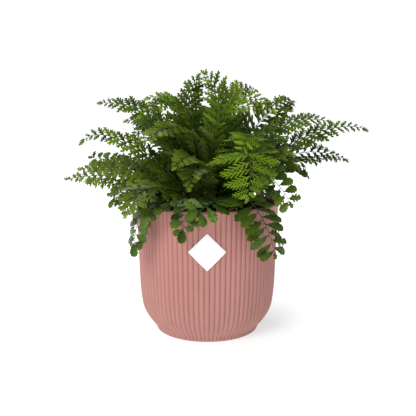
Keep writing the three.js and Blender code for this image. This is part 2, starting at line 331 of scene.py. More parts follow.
def potRadius(z):  # crest radius of the outside at a height, in millimetres
    outside = [(height, radius) for radius, height in potValues["rows"][3:27]]
    return between(outside, z)


def makePot(values):
    pot = startDisc(*values["rows"][0], values["ribs"] * values["columns"])
    drawWall(values["rows"])
    bpy.ops.mesh.edge_face_add()  # the floor inside
    low, high = values["ribbed"]

    def inGroove(phase, co):
        angle = math.atan2(co.y, co.x) + math.pi / 2
        turn = (angle / (2 * math.pi) * values["ribs"]) % 1
        onPanel = abs(co.x) < values["panel"] * mm and co.y < 0 and co.z > values["panelFoot"] * mm
        outside = co.xy.length > (potRadius(co.z / mm) - 0.02) * mm
        inBand = low * mm < co.z < high * mm
        return outside and inBand and not onPanel and abs(min(turn, 1 - turn) - phase) < 0.02

    for phase, share in values["grooveShape"][1:]:
        pick(pot, lambda co: inGroove(phase, co))
        inward = 1 - share * values["ribDepth"] / potRadius(values["middle"])
        bpy.ops.transform.resize(value=(inward, inward, 1), center_override=(0, 0, 0))
    bpy.ops.mesh.select_all(action="SELECT")
    bpy.ops.mesh.normals_make_consistent(inside=False)
    endEdit()
    smooth(pot, 42)
    pot.name = "ribbedPot"
    return pot


def potPlastic():
    material, tree, shader = newMaterial("dustyPinkPlastic")
    place = objectPlace(tree)
    cloud = noise(tree, place, 9, 4)
    grain = noise(tree, place, 260, 3, 0.6)
    flow = node(tree, "Mapping", {"Vector": place, "Scale": (90, 90, 7)}).outputs["Vector"]
    streak = noise(tree, flow, 1.0, 4)
    base = ramp(tree, cloud, [(0.3, (0.450, 0.208, 0.181)), (0.7, (0.496, 0.241, 0.212))])
    streaked = ramp(tree, streak, [(0.3, grey(0.93)), (0.7, grey(1.05))])
    base = mixColour(tree, 1.0, base, streaked, "MULTIPLY")
    specks = stretch(tree, grain, 0.64, 0.74, 0.0, 0.35)
    base = mixColour(tree, specks, base, (0.32, 0.135, 0.11))
    height = node(tree, "SeparateXYZ", {0: place}).outputs["Z"]
    foot = stretch(tree, height, 0.0, 0.02, 0.16, 0.0)  # the foot has rubbed on shelves
    scuffs = math2(tree, "MULTIPLY", foot, noise(tree, place, 55, 5, 0.7))
    base = mixColour(tree, scuffs, base, (0.60, 0.40, 0.36))
    tree.links.new(base, shader.inputs["Base Color"])
    tree.links.new(stretch(tree, streak, 0.3, 0.7, 0.44, 0.58), shader.inputs["Roughness"])
    shader.inputs["Specular IOR Level"].default_value = 0.16
    bump(tree, shader, grain, 0.12, 0.0004)
    return material


pot = makePot(potValues)
pot.data.materials.append(potPlastic())
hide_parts("pot")
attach(pot, "root")
print("pot:", len(pot.data.polygons), "faces")


# The blank label

labelValues = {
    "side": 24.4, "middle": 90.5, "cells": 14, "thickness": 0.35, "corner": 0.7, "edge": 0.08,
    "lift": 0.35, "cornerLift": 0.125,  # how far the card stands off the pot
}


def makeLabel(values):
    bpy.ops.object.select_all(action="DESELECT")
    cells = values["cells"]
    bpy.ops.mesh.primitive_grid_add(x_subdivisions=cells, y_subdivisions=cells, size=values["side"] * mm)
    label = bpy.context.object
    half = values["side"] / 2 * mm
    startEdit(label)
    pick(label, lambda co: abs(co.x) > half * 0.999 and abs(co.y) > half * 0.999)
    bpy.ops.mesh.bevel(offset=values["corner"] * mm, segments=3, affect="VERTICES")
    bpy.ops.mesh.select_all(action="SELECT")
    bpy.ops.transform.rotate(value=math.radians(45), orient_axis="Z", center_override=(0, 0, 0))
    endEdit()
    bent = []
    for x, y, _ in coordsOf(label) / mm:
        curl = values["cornerLift"] * (abs(x) + abs(y)) ** 4 / (values["side"] * 0.7071) ** 4
        radius = potRadius(values["middle"] + y) + values["lift"] + curl
        angle = x / radius
        bent.append((radius * math.sin(angle), -radius * math.cos(angle), values["middle"] + y))
    setCoords(label, np.array(bent) * mm)
    wall = label.modifiers.new("card", "SOLIDIFY")
    wall.thickness = values["thickness"] * mm
    wall.offset = 1
    edge = label.modifiers.new("edge", "BEVEL")
    edge.width = values["edge"] * mm
    edge.segments = 2
    edge.limit_method = "ANGLE"
    applyModifiers(label)
    smooth(label, 35)
    label.name = "blankLabel"
    return label


def labelCard():
    material, tree, shader = newMaterial("whiteCard")
    place = objectPlace(tree)
    fibres = noise(tree, place, 420, 4, 0.6)
    cloud = noise(tree, place, 60, 3)
    colour = ramp(tree, cloud, [(0.3, (0.86, 0.86, 0.85)), (0.7, (0.92, 0.92, 0.91))])
    tree.links.new(colour, shader.inputs["Base Color"])
    tree.links.new(stretch(tree, fibres, 0.3, 0.7, 0.38, 0.5), shader.inputs["Roughness"])
    bump(tree, shader, fibres, 0.15, 0.0001)
    return material


label = makeLabel(labelValues)
label.data.materials.append(labelCard())
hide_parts("label")
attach(label, "root")
print("label:", len(label.data.polygons), "faces")


# Potting soil with crumbs, shreds of bark and white grains

soilValues = {
    "edge": 118.6, "mound": 4.0, "radius": 66.4, "wall": 66.7, "columns": 150, "rings": 34,
    "depth": [(45.6, 4.3), (55.0, 14.4), (62.2, 38.4), (65.6, 108.0)],  # (radius, height) up from the floor
    "rough": 0.9, "seed": 11,
    "crumbShapes": [(1, 0.8, 0.7), (1.1, 0.7, 0.6), (0.9, 0.9, 0.8), (1.2, 0.6, 0.55)],
    "shredBends": [0.1, 0.35, -0.3],
    "soilCrumbs": {"count": 620, "sizes": (1.0, 3.2), "tilt": 1.2, "sink": 0.25},
    "barkShreds": {"count": 230, "sizes": (0.6, 1.5), "tilt": 0.3, "sink": 0.6},
    "paleGrains": {"count": 34, "sizes": (0.7, 1.5), "tilt": 1.0, "sink": 0.4},
}


def soilHeight(x, y):  # the same mound as the frame's, in millimetres
    share = math.hypot(x, y) / soilValues["wall"]
    clods = 0.9 * math.sin(x / 5.1 + 1.3) * math.cos(y / 4.3) + 0.5 * math.sin((x + y) / 2.9)
    return soilValues["edge"] + soilValues["mound"] * (1 - share ** 2) + clods * (1 - share ** 6)


def makeSoil(values):
    rings = [(values["radius"] * (1 - k / values["rings"]), values["edge"]) for k in range(values["rings"])]
    soil = startDisc(*values["depth"][0], values["columns"])
    drawWall(values["depth"] + rings)
    bpy.ops.mesh.merge(type="CENTER")
    bpy.ops.mesh.select_all(action="SELECT")
    bpy.ops.mesh.normals_make_consistent(inside=False)
    endEdit()
    coords = coordsOf(soil)
    top = [int(k) for k in np.nonzero(coords[:, 2] > (values["edge"] - 1) * mm)[0]]
    for k in top:
        coords[k, 2] = soilHeight(coords[k, 0] / mm, coords[k, 1] / mm) * mm
    setCoords(soil, coords)
    soil.vertex_groups.new(name="surface").add(top, 1.0, "REPLACE")
    for name, size, strength in (("clods", 7.0, 1.6), ("crumb", 2.2, 1.5)):
        texture = bpy.data.textures.new(name, "CLOUDS")
        texture.noise_scale = size * mm
        texture.noise_depth = 2
        lumps = soil.modifiers.new(name, "DISPLACE")
        lumps.texture = texture
        lumps.strength = strength * values["rough"] * mm
        lumps.mid_level = 0.6
        lumps.direction = "Z"
        lumps.vertex_group = "surface"
    applyModifiers(soil)
    soil.vertex_groups.clear()
    smooth(soil, 35)
    soil.name = "pottingSoil"
    return soil


def makeLump(name, size, spread, seed):  # a rough little stone-like crumb with 20 faces
    bpy.ops.object.select_all(action="DESELECT")
    bpy.ops.mesh.primitive_ico_sphere_add(subdivisions=1, radius=0.5 * mm)
    lump = bpy.context.object
    lump.name = name
    startEdit(lump)
    bpy.ops.mesh.select_all(action="SELECT")
    bpy.ops.transform.vertex_random(offset=spread * mm, seed=seed)
    bpy.ops.transform.resize(value=size, center_override=(0, 0, 0))
    bpy.ops.mesh.normals_make_consistent(inside=False)
    endEdit()
    return lump


def makeShred(name, bend):  # a flat splinter of bark
    bpy.ops.object.select_all(action="DESELECT")
    bpy.ops.mesh.primitive_cube_add(size=1 * mm)
    shred = bpy.context.object
    shred.name = name
    startEdit(shred)
    bpy.ops.mesh.select_all(action="SELECT")
    bpy.ops.transform.resize(value=(1.0, 0.5, 0.22), center_override=(0, 0, 0))
    for turn in (1, -1):
        for step in (1.4, 1.2):
            side = max(co.x * turn for co in (vertex.co for vertex in bmesh.from_edit_mesh(shred.data).verts))
            pick(shred, lambda co: co.x * turn > side - 0.01 * mm)
            extrude((turn * step * mm, bend * mm, -abs(bend) * 0.4 * mm))
            centre = (turn * (side + step * mm), bend * mm, 0)
            bpy.ops.transform.resize(value=(1, 0.7, 0.7), center_override=centre)
    bpy.ops.mesh.select_all(action="SELECT")
    bpy.ops.mesh.normals_make_consistent(inside=False)
    endEdit()
    return shred


def scatter(masters, name, values, chance):  # copies over the soil's surface, joined into one piece
    made = []
    kind = values[name]
    for _ in range(kind["count"]):
        piece = copyOf(chance.choice(masters))
        size = chance.uniform(*kind["sizes"])
        angle = chance.uniform(0, 2 * math.pi)
        distance = (values["radius"] - 1.5 - size) * math.sqrt(chance.random())
        x = distance * math.cos(angle)
        y = distance * math.sin(angle)
        place = Vector((x, y, soilHeight(x, y) + kind["sink"] * size)) * mm
        turn = Matrix.Rotation(chance.uniform(0, 6.28), 4, "Z")
        for axis in "XY":
            turn = turn @ Matrix.Rotation(chance.gauss(0, kind["tilt"]), 4, axis)
        piece.data.transform(Matrix.Translation(place) @ turn @ Matrix.Scale(size, 4))
        setTone(piece, chance.random(), "crumbTone")
        made.append(piece)
    joined = joinPieces(made, name)
    for master in masters:
        bpy.data.objects.remove(master)
    return joined


def earthMaterial(name, stops, roughness, scale, bumpDepth):
    material, tree, shader = newMaterial(name)
    place = objectPlace(tree)
    tone = node(tree, "Attribute", attribute_name="crumbTone").outputs["Fac"]
    fine = noise(tree, place, scale, 5, 0.7)
    mixed = math2(tree, "ADD", math2(tree, "MULTIPLY", tone, 0.5), math2(tree, "MULTIPLY", fine, 0.6))
    tree.links.new(ramp(tree, mixed, stops), shader.inputs["Base Color"])
    tree.links.new(stretch(tree, fine, 0.3, 0.7, roughness, roughness + 0.2), shader.inputs["Roughness"])
    shader.inputs["Specular IOR Level"].default_value = 0.3
    bump(tree, shader, fine, 0.6, bumpDepth)
    return material


chance = random.Random(soilValues["seed"])
darkEarth = [(0.2, (0.004, 0.003, 0.002)), (0.5, (0.013, 0.009, 0.006)), (0.85, (0.05, 0.032, 0.02))]
redEarth = [(0.15, (0.02, 0.008, 0.005)), (0.5, (0.07, 0.03, 0.016)), (0.9, (0.19, 0.10, 0.055))]
paleGrains = [(0.2, (0.35, 0.33, 0.30)), (0.8, (0.75, 0.73, 0.70))]
soil = makeSoil(soilValues)
soil.data.materials.append(earthMaterial("darkPeat", darkEarth, 0.7, 420, 0.0006))
crumbs = [makeLump("crumb", shape, 0.14, seed) for seed, shape in enumerate(soilValues["crumbShapes"])]
soilCrumbs = scatter(crumbs, "soilCrumbs", soilValues, chance)
soilCrumbs.data.materials.append(earthMaterial("peatCrumbs", darkEarth, 0.65, 700, 0.0004))
shreds = [makeShred("shred", bend) for bend in soilValues["shredBends"]]
barkShreds = scatter(shreds, "barkShreds", soilValues, chance)
barkShreds.data.materials.append(earthMaterial("redBark", redEarth, 0.6, 500, 0.0003))
grains = [makeLump("grain", (1, 0.9, 0.8), 0.1, 9)]
paleSpecks = scatter(grains, "paleGrains", soilValues, chance)
paleSpecks.data.materials.append(earthMaterial("paleGrain", paleGrains, 0.7, 900, 0.0002))
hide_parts("soil")
for piece in (soil, soilCrumbs, barkShreds, paleSpecks):
    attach(piece, "root")
print("soil:", sum(len(piece.data.polygons) for piece in (soil, soilCrumbs, barkShreds, paleSpecks)), "faces")


# Leaf materials

leafColours = {
    "broad": {
        "top": [(0.0, (0.007, 0.021, 0.002)), (0.4, (0.034, 0.072, 0.004)), (0.75, (0.070, 0.124, 0.008)),
                (1.0, (0.110, 0.176, 0.012))],
        "under": [(0.0, (0.018, 0.040, 0.008)), (1.0, (0.085, 0.14, 0.030))], "gloss": 0.17, "shine": 0.42,
    },
    "cut": {
        "top": [(0.0, (0.008, 0.022, 0.002)), (0.4, (0.032, 0.066, 0.004)), (0.75, (0.082, 0.128, 0.008)),
                (1.0, (0.140, 0.200, 0.014))],
        "under": [(0.0, (0.020, 0.038, 0.006)), (1.0, (0.088, 0.126, 0.020))], "gloss": 0.28, "shine": 0.36,
    },
    "fine": {
        "top": [(0.0, (0.008, 0.022, 0.002)), (0.4, (0.032, 0.068, 0.004)), (0.75, (0.080, 0.135, 0.007)),
                (1.0, (0.150, 0.260, 0.012))],
        "under": [(0.0, (0.020, 0.038, 0.006)), (1.0, (0.088, 0.132, 0.018))], "gloss": 0.42, "shine": 0.2,
    },
}


def leafMaterial(name, stops, gloss, shine, veinLift):
    material, tree, shader = newMaterial(name)
    coords = node(tree, "TexCoord")
    place = coords.outputs["Object"]
    tone = node(tree, "Attribute", attribute_name="leafTone").outputs["Fac"]
    patches = stretch(tree, noise(tree, place, 45, 3), 0.25, 0.75, -0.12, 0.12)
    mottle = stretch(tree, noise(tree, place, 330, 4, 0.65), 0.25, 0.75, -0.09, 0.09)
    uv = node(tree, "SeparateXYZ", {0: coords.outputs["UV"]})
    across = math2(tree, "ABSOLUTE", math2(tree, "SUBTRACT", uv.outputs["Y"], 0.5), 0.0)
    midvein = stretch(tree, across, 0.0, 0.045, 1.0, 0.0)
    lean = math2(tree, "SUBTRACT", uv.outputs["X"], math2(tree, "MULTIPLY", across, 0.55))
    sideVeins = math2(tree, "SINE", math2(tree, "MULTIPLY", lean, 88.0), 0.0)
    sideVeins = stretch(tree, sideVeins, 0.55, 1.0, 0.0, 1.0)
    veins = math2(tree, "MAXIMUM", midvein, math2(tree, "MULTIPLY", sideVeins, 0.45))
    outward = stretch(tree, uv.outputs["X"], 0.1, 0.95, -0.2, 0.17)  # painted shade: darker at the leaflet's stalk, paler towards its end
    paintedOverlapShade = stretch(tree, uv.outputs["Y"], 0.15, 0.85, -0.19, 0.2)  # painted shade: paler on the side of the frond's tip, darker on the other side
    level = tone
    for change in (patches, mottle, outward, paintedOverlapShade):
        level = math2(tree, "ADD", level, change)
    level = math2(tree, "ADD", level, math2(tree, "MULTIPLY", veins, veinLift), clamp=True)
    tree.links.new(ramp(tree, level, stops), shader.inputs["Base Color"])
    tree.links.new(stretch(tree, mottle, -0.09, 0.09, gloss, gloss + 0.16), shader.inputs["Roughness"])
    shader.inputs["Specular IOR Level"].default_value = shine
    shader.inputs["Specular Tint"].default_value = (0.55, 0.78, 0.32, 1)
    height = math2(tree, "ADD", math2(tree, "MULTIPLY", veins, -0.6), math2(tree, "MULTIPLY", mottle, 3.0))
    bump(tree, shader, height, 0.35, 0.0003)
    return material


def stemMaterial():
    material, tree, shader = newMaterial("stemSkin")
    place = objectPlace(tree)
    height = node(tree, "SeparateXYZ", {0: place}).outputs["Z"]
    drawn = node(tree, "Mapping", {"Vector": place, "Scale": (900, 900, 160)}).outputs["Vector"]
    streak = noise(tree, drawn, 1.0, 4)
    greener = stretch(tree, height, 0.125, 0.175, 0.0, 0.6)  # brown in the soil and green higher up
    level = math2(tree, "ADD", greener, math2(tree, "MULTIPLY", streak, 0.4))
    stops = [(0.15, (0.020, 0.011, 0.006)), (0.5, (0.045, 0.040, 0.012)), (0.8, (0.050, 0.080, 0.012))]
    tree.links.new(ramp(tree, level, stops), shader.inputs["Base Color"])
    tree.links.new(stretch(tree, streak, 0.3, 0.7, 0.4, 0.6), shader.inputs["Roughness"])
    bump(tree, shader, streak, 0.3, 0.0002)
    return material


stemSkin = stemMaterial()
leafSkins = {
    kind: [leafMaterial(kind + "LeafTop", colours["top"], colours["gloss"], colours["shine"], 0.16),
           leafMaterial(kind + "LeafUnder", colours["under"], colours["gloss"] + 0.2, 0.2, 0.1)]
    for kind, colours in leafColours.items()
}


# One leaflet of each shape, modelled flat from its stalk along +X, and then given its form

leafletPlans = {
    # Cut leaflets grow lobes off both sides of a midvein. vein: (share of the length, half width) rows.
    # reach: length of a lobe. swell and fall: how full the first lobes are, and what the last ones lose.
    # angles: of the first and last lobe. steps: (share of the lobe, width as a share of its joint) rows.
    # fold and curl: how far the sides rise, and how far their edges droop again.
    "fineFan": {"kind": "fine", "length": 28, "stalk": 1.0, "vein": [(0, 0.5), (0.4, 0.8), (1, 0.5)],
                "lobes": 5, "reach": 8.4, "swell": 0.75, "angles": (50, 36), "fall": 0.35,
                "steps": [(0.5, 0.62), (0.34, 0.68), (0.16, 0.4)], "fold": 0.2, "curl": 0.12},
    "fineLong": {"kind": "fine", "length": 22, "stalk": 0.6,
                 "vein": [(0, 1.2), (0.2, 2.6), (0.6, 2.3), (1, 1.2)],
                 "lobes": 4, "reach": 4.6, "swell": 0.9, "angles": (48, 30), "fall": 0.45,
                 "steps": [(0.5, 0.95), (0.34, 0.9), (0.16, 0.5)], "fold": 0.42, "curl": 0.16},
    "fineShort": {"kind": "fine", "length": 14, "stalk": 0.5,
                  "vein": [(0, 1.1), (0.25, 2.1), (0.6, 1.9), (1, 1.0)],
                  "lobes": 3, "reach": 3.5, "swell": 0.9, "angles": (48, 30), "fall": 0.4,
                  "steps": [(0.5, 0.95), (0.34, 0.9), (0.16, 0.5)], "fold": 0.42, "curl": 0.16},
    "fineTip": {"kind": "fine", "length": 7, "stalk": 0.3, "vein": [(0, 0.7), (0.5, 1.2), (1, 0.8)],
                "lobes": 2, "reach": 2.8, "swell": 0.8, "angles": (46, 34), "fall": 0.2,
                "steps": [(0.6, 0.95), (0.4, 0.6)], "fold": 0.2, "curl": 0.1},
    "cutLong": {"kind": "cut", "length": 19, "stalk": 1.4,
                "vein": [(0, 1.0), (0.2, 1.9), (0.65, 2.5), (1, 1.7)],
                "lobes": 3, "reach": 5.6, "swell": 0.45, "angles": (50, 22), "fall": 0.0,
                "steps": [(0.5, 0.96), (0.32, 1.02), (0.18, 0.62)], "fold": 0.42, "curl": 0.2},
    "cutShort": {"kind": "cut", "length": 13, "stalk": 1.0,
                 "vein": [(0, 0.9), (0.25, 1.6), (0.7, 1.9), (1, 1.4)],
                 "lobes": 3, "reach": 4.1, "swell": 0.45, "angles": (50, 22), "fall": 0.0,
                 "steps": [(0.5, 0.96), (0.32, 1.02), (0.18, 0.62)], "fold": 0.42, "curl": 0.2},
    "cutTip": {"kind": "cut", "length": 7, "stalk": 0.3, "vein": [(0, 0.7), (0.5, 1.6), (1, 1.0)],
               "lobes": 2, "reach": 2.4, "swell": 0.7, "angles": (42, 24), "fall": 0.2,
               "steps": [(0.6, 1.1), (0.4, 0.7)], "fold": 0.2, "curl": 0.12},
    "broadLobed": {"kind": "broad", "length": 17, "stalk": 2.2, "vein": [(0, 0.6), (0.4, 3.4), (1, 2.6)],
                   "lobes": 3, "reach": 3.3, "swell": 0.62, "angles": (58, 30),
                   "steps": [(0.5, 1.1), (0.3, 1.1), (0.2, 0.7)], "fall": 0.3, "fold": 0.2, "curl": 0.2},
    "broadTip": {"kind": "broad", "length": 10, "stalk": 0.8, "vein": [(0, 0.6), (0.5, 2.4), (1, 1.9)],
                 "lobes": 2, "reach": 2.4, "swell": 0.62, "angles": (50, 32), "fall": 0.4,
                 "steps": [(0.6, 1.1), (0.4, 0.75)], "fold": 0.16, "curl": 0.16},
    # whole leaflets are a grid that is drawn in column by column: half widths from stalk to tip
    "broadLong": {"kind": "broad", "length": 18, "rows": 4, "fold": 0.3, "curl": 0.3,
                  "widths": [0.45, 0.5, 1.2, 2.6, 2.4, 4.4, 3.7, 5.7, 4.6, 6.2, 4.6, 5.0, 3.0, 1.3]},
    "broadShort": {"kind": "broad", "length": 13, "rows": 4, "fold": 0.28, "curl": 0.28,
                   "widths": [0.4, 0.5, 1.5, 3.2, 2.9, 4.9, 3.9, 5.3, 3.7, 3.9, 1.4]},
}


# vein: share of the length that has lobes. end: the bare steps after it, as (share, width) rows.
leafForm = {"wall": 0.32, "stalkWidth": 0.7, "vein": 0.84, "end": [(0.09, 1.1), (0.07, 0.4)]}


def growLobes(leaf, plan, nodesAlong, veinHalf):
    count = plan["lobes"] * 2
    for k in range(count):
        share = k / (count - 1)
        turn = 1 if k % 2 == 0 else -1
        angle = math.radians(plan["angles"][0] + (plan["angles"][1] - plan["angles"][0]) * share)
        swell = min(plan["swell"] + share * 1.1, 1.0) * (1 - plan["fall"] * share ** 1.5)
        length = plan["reach"] * swell * mm
        heading = Vector((math.cos(angle), turn * math.sin(angle), 0))
        ends = [Vector((nodesAlong[j], turn * veinHalf[j], 0)) for j in (k, k + 1)]
        middle = (ends[0] + ends[1]) / 2
        pickNearest(leaf, ends)
        width = 1.0
        for step, (part, breadth) in enumerate(plan["steps"]):
            extrude(heading * length * part)
            middle = middle + heading * length * part
            if step < 2:
                bpy.ops.transform.rotate(value=turn * (math.pi / 2 - angle) * (0.65, 0.35)[step],
                                         orient_axis="Z", center_override=middle)
            bpy.ops.transform.resize(value=(breadth / width,) * 3, center_override=middle)
            width = breadth


def makeCutLeaflet(name, plan):
    stalk = plan["stalk"] * mm
    foot = plan["vein"][0][1] * mm
    bpy.ops.object.select_all(action="DESELECT")
    bpy.ops.mesh.primitive_plane_add(size=1, location=(0, 0, 0))
    leaf = bpy.context.object
    startEdit(leaf)
    bpy.ops.mesh.select_all(action="SELECT")
    bpy.ops.transform.resize(value=(stalk, leafForm["stalkWidth"] * mm, 1), center_override=(0, 0, 0))
    bpy.ops.transform.translate(value=(stalk / 2, 0, 0))
    pick(leaf, lambda co: co.x > stalk * 0.9)
    half = leafForm["stalkWidth"] / 2 * mm
    bpy.ops.transform.resize(value=(1, foot / half, 1), center_override=(0, 0, 0))
    half = foot
    count = plan["lobes"] * 2
    step = (plan["length"] * leafForm["vein"] * mm - stalk) / count
    nodesAlong = [stalk]
    veinHalf = [half]
    for k in range(count):
        extrude((step, 0, 0))
        wanted = between(plan["vein"], (k + 1) / count) * mm
        bpy.ops.transform.resize(value=(1, wanted / half, 1), center_override=(0, 0, 0))
        half = wanted
        nodesAlong.append(nodesAlong[-1] + step)
        veinHalf.append(half)
    for part, breadth in leafForm["end"]:
        extrude((plan["length"] * part * mm, 0, 0))
        bpy.ops.transform.resize(value=(1, breadth, 1), center_override=(0, 0, 0))
    growLobes(leaf, plan, nodesAlong, veinHalf)
    endEdit()
    return finishLeaflet(leaf, name, plan)


def makeWholeLeaflet(name, plan):
    widths = plan["widths"]
    length = plan["length"] * mm
    columns = len(widths) - 1
    bpy.ops.object.select_all(action="DESELECT")
    bpy.ops.mesh.primitive_grid_add(x_subdivisions=columns, y_subdivisions=plan["rows"], size=length)
    leaf = bpy.context.object
    startEdit(leaf)
    bpy.ops.mesh.select_all(action="SELECT")
    bpy.ops.transform.translate(value=(length / 2, 0, 0))
    for k, width in enumerate(widths):
        x = length * k / columns
        pick(leaf, lambda co: abs(co.x - x) < length * 0.01)
        bpy.ops.transform.resize(value=(1, width * mm / (length / 2), 1), center_override=(0, 0, 0))
    for k in range(3, columns - 1, 2):  # the teeth lean towards the tip
        x = length * k / columns
        edge = widths[k] * 0.9 * mm
        pick(leaf, lambda co: abs(co.x - x) < length * 0.01 and abs(co.y) > edge)
        bpy.ops.transform.translate(value=(length * 0.032, 0, 0))
    pick(leaf, lambda co: 0.12 * length < co.x < 0.4 * length and co.y > 0.4 * mm)
    bpy.ops.transform.resize(value=(1, 1.16, 1), center_override=(0, 0, 0))  # fuller on the side of the tip
    endEdit()
    return finishLeaflet(leaf, name, plan)


def finishLeaflet(leaf, name, plan):
    startEdit(leaf)
    bpy.ops.mesh.select_all(action="SELECT")
    bpy.ops.mesh.remove_doubles(threshold=0.01 * mm)
    bpy.ops.mesh.normals_make_consistent(inside=False)
    endEdit()
    if sum(face.normal.z for face in leaf.data.polygons) < 0:
        leaf.data.flip_normals()
    coords = coordsOf(leaf)
    length = plan["length"] * mm
    spread = np.abs(coords[:, 1]).max()
    uv = leaf.data.uv_layers.get("UVMap") or leaf.data.uv_layers.new(name="UVMap")
    for loop in leaf.data.loops:
        x, y, _ = coords[loop.vertex_index]
        uv.data[loop.index].uv = (x / length, 0.5 + 0.5 * y / spread)
    x, y = coords[:, 0], coords[:, 1]
    out = np.abs(y) / spread  # 0 on the midvein and 1 at the edge
    coords[:, 2] = plan["fold"] * (np.abs(y) - spread * 0.3) - plan["curl"] * spread * out ** 2.5
    coords[:, 2] += 0.04 * spread * np.sin(x / length * 21 + np.sign(y)) * out * 2  # ripples
    setCoords(leaf, coords)
    wall = leaf.modifiers.new("leafWall", "SOLIDIFY")
    wall.thickness = leafForm["wall"] * mm
    wall.offset = -1
    wall.material_offset = 1
    wall.use_rim = True
    for skin in leafSkins[plan["kind"]]:
        leaf.data.materials.append(skin)
    applyModifiers(leaf)
    smooth(leaf, 50)
    leaf.name = name
    leaf["spread"] = float(spread)
    leaf["length"] = float(length)
    return leaf


def mirrored(leaf):
    twin = copyOf(leaf)
    startEdit(twin)
    bpy.ops.mesh.select_all(action="SELECT")
    bpy.ops.transform.resize(value=(1, -1, 1), center_override=(0, 0, 0))
    bpy.ops.mesh.flip_normals()
    endEdit()
    return twin


leaflets = {}
for name, plan in leafletPlans.items():
    make = makeWholeLeaflet if "widths" in plan else makeCutLeaflet
    leaflets[name] = make(name, plan)
    leaflets[name + "Mirrored"] = mirrored(leaflets[name])
    print("leaflet", name, len(leaflets[name].data.polygons), "faces")


# The fronds

frondValues = {
    "root": 8.0, "collar": 2.0,  # how far the stem stands in the soil, and straight up out of it
    "lean": 0.18, "rise": 0.55,  # shares of the way out and up to the bend, where the stem turns outward
    "stemRadius": 0.9, "tipRadius": 0.2, "taper": 0.8, "stemRings": 30,
    # stem without leaflets, as a share of the row's own figure
    "bareShare": 0.36, "barer": {2: 0.9, 3: 0.98, 4: 0.95, 5: 0.65, 11: 0.6, 15: 0.95, 43: 0.8},
    # length of the leaflets along the blade, as (share of the blade, share of the longest) rows
    "broadReach": [(0, 0.75), (0.3, 1.0), (0.6, 1.0), (0.85, 0.8), (1, 0.6)],
    "reach": [(0, 0.75), (0.2, 1), (0.5, 0.94), (0.7, 0.72), (0.85, 0.45), (0.95, 0.2), (1, 0.1)],
    # the way some fronds grow their leaflets, where it isn't that of their kind
    "growth": {15: "fan", 24: "fan", 16: "cut", 21: "cut", 23: "cut", 26: "cut", 29: "cut"},
    "angle": {"broad": 80, "cut": 54, "fine": 52, "fan": 76},
    "spacing": {"broad": 8.8, "cut": 10.0, "fine": 10.0, "fan": 8.8},
    # breadth of a leaflet as a share of its spacing, but at most this share of its length
    "overlap": {"broad": 1.25, "cut": 0.95, "fine": 0.96, "fan": 1.35},
    "stout": {"broad": 0.68, "cut": 0.6, "fine": 0.45, "fan": 0.5},
    # how much longer or shorter than their row says the leaflets of some fronds are
    "fuller": {1: 1.3, 3: 0.85, 4: 0.8, 5: 1.15, 6: 0.95, 10: 0.7, 11: 1.2, 12: 0.8, 13: 0.9, 14: 0.68,
               15: 1.15, 16: 1.15, 18: 0.8, 19: 1.3, 20: 1.3, 21: 0.75, 22: 0.8, 25: 0.75, 27: 1.5, 28: 1.6,
               29: 1.6, 30: 0.65, 35: 1.6, 37: 1.6, 38: 1.25, 39: 1.35, 40: 1.35, 41: 0.9, 42: 0.85},
    # and how much broader: fronds behind, the lowest leaflets, and some fronds in front
    "behindFill": 1.4, "lowFill": 1.15, "low": 0.32,
    "denser": {11: 1.25, 12: 1.35, 13: 1.35, 22: 1.3, 25: 1.15, 32: 1.3, 33: 1.15, 36: 1.25, 38: 1.2,
               39: 1.1},
    # the leaflet at the tip, which a few broad fronds have small too
    "broadTip": 13, "tip": 7, "smallTips": (1, 6, 14),
    "hang": 0.14, "turnOut": 24,  # how leaflets dip, and turn their faces outward
    # how much the leaflets differ by chance
    "angleChance": 5, "twistChance": 14, "dipChance": 4, "toneChance": 0.14,
    "paintedDeepShade": 0.62,  # painted shade: tone deep inside the plant, as a share of that at its outside
    "deep": (22, 170), "open": (60, 55),  # distance and height where the painted deep shade ends, and the steps to the outside
}

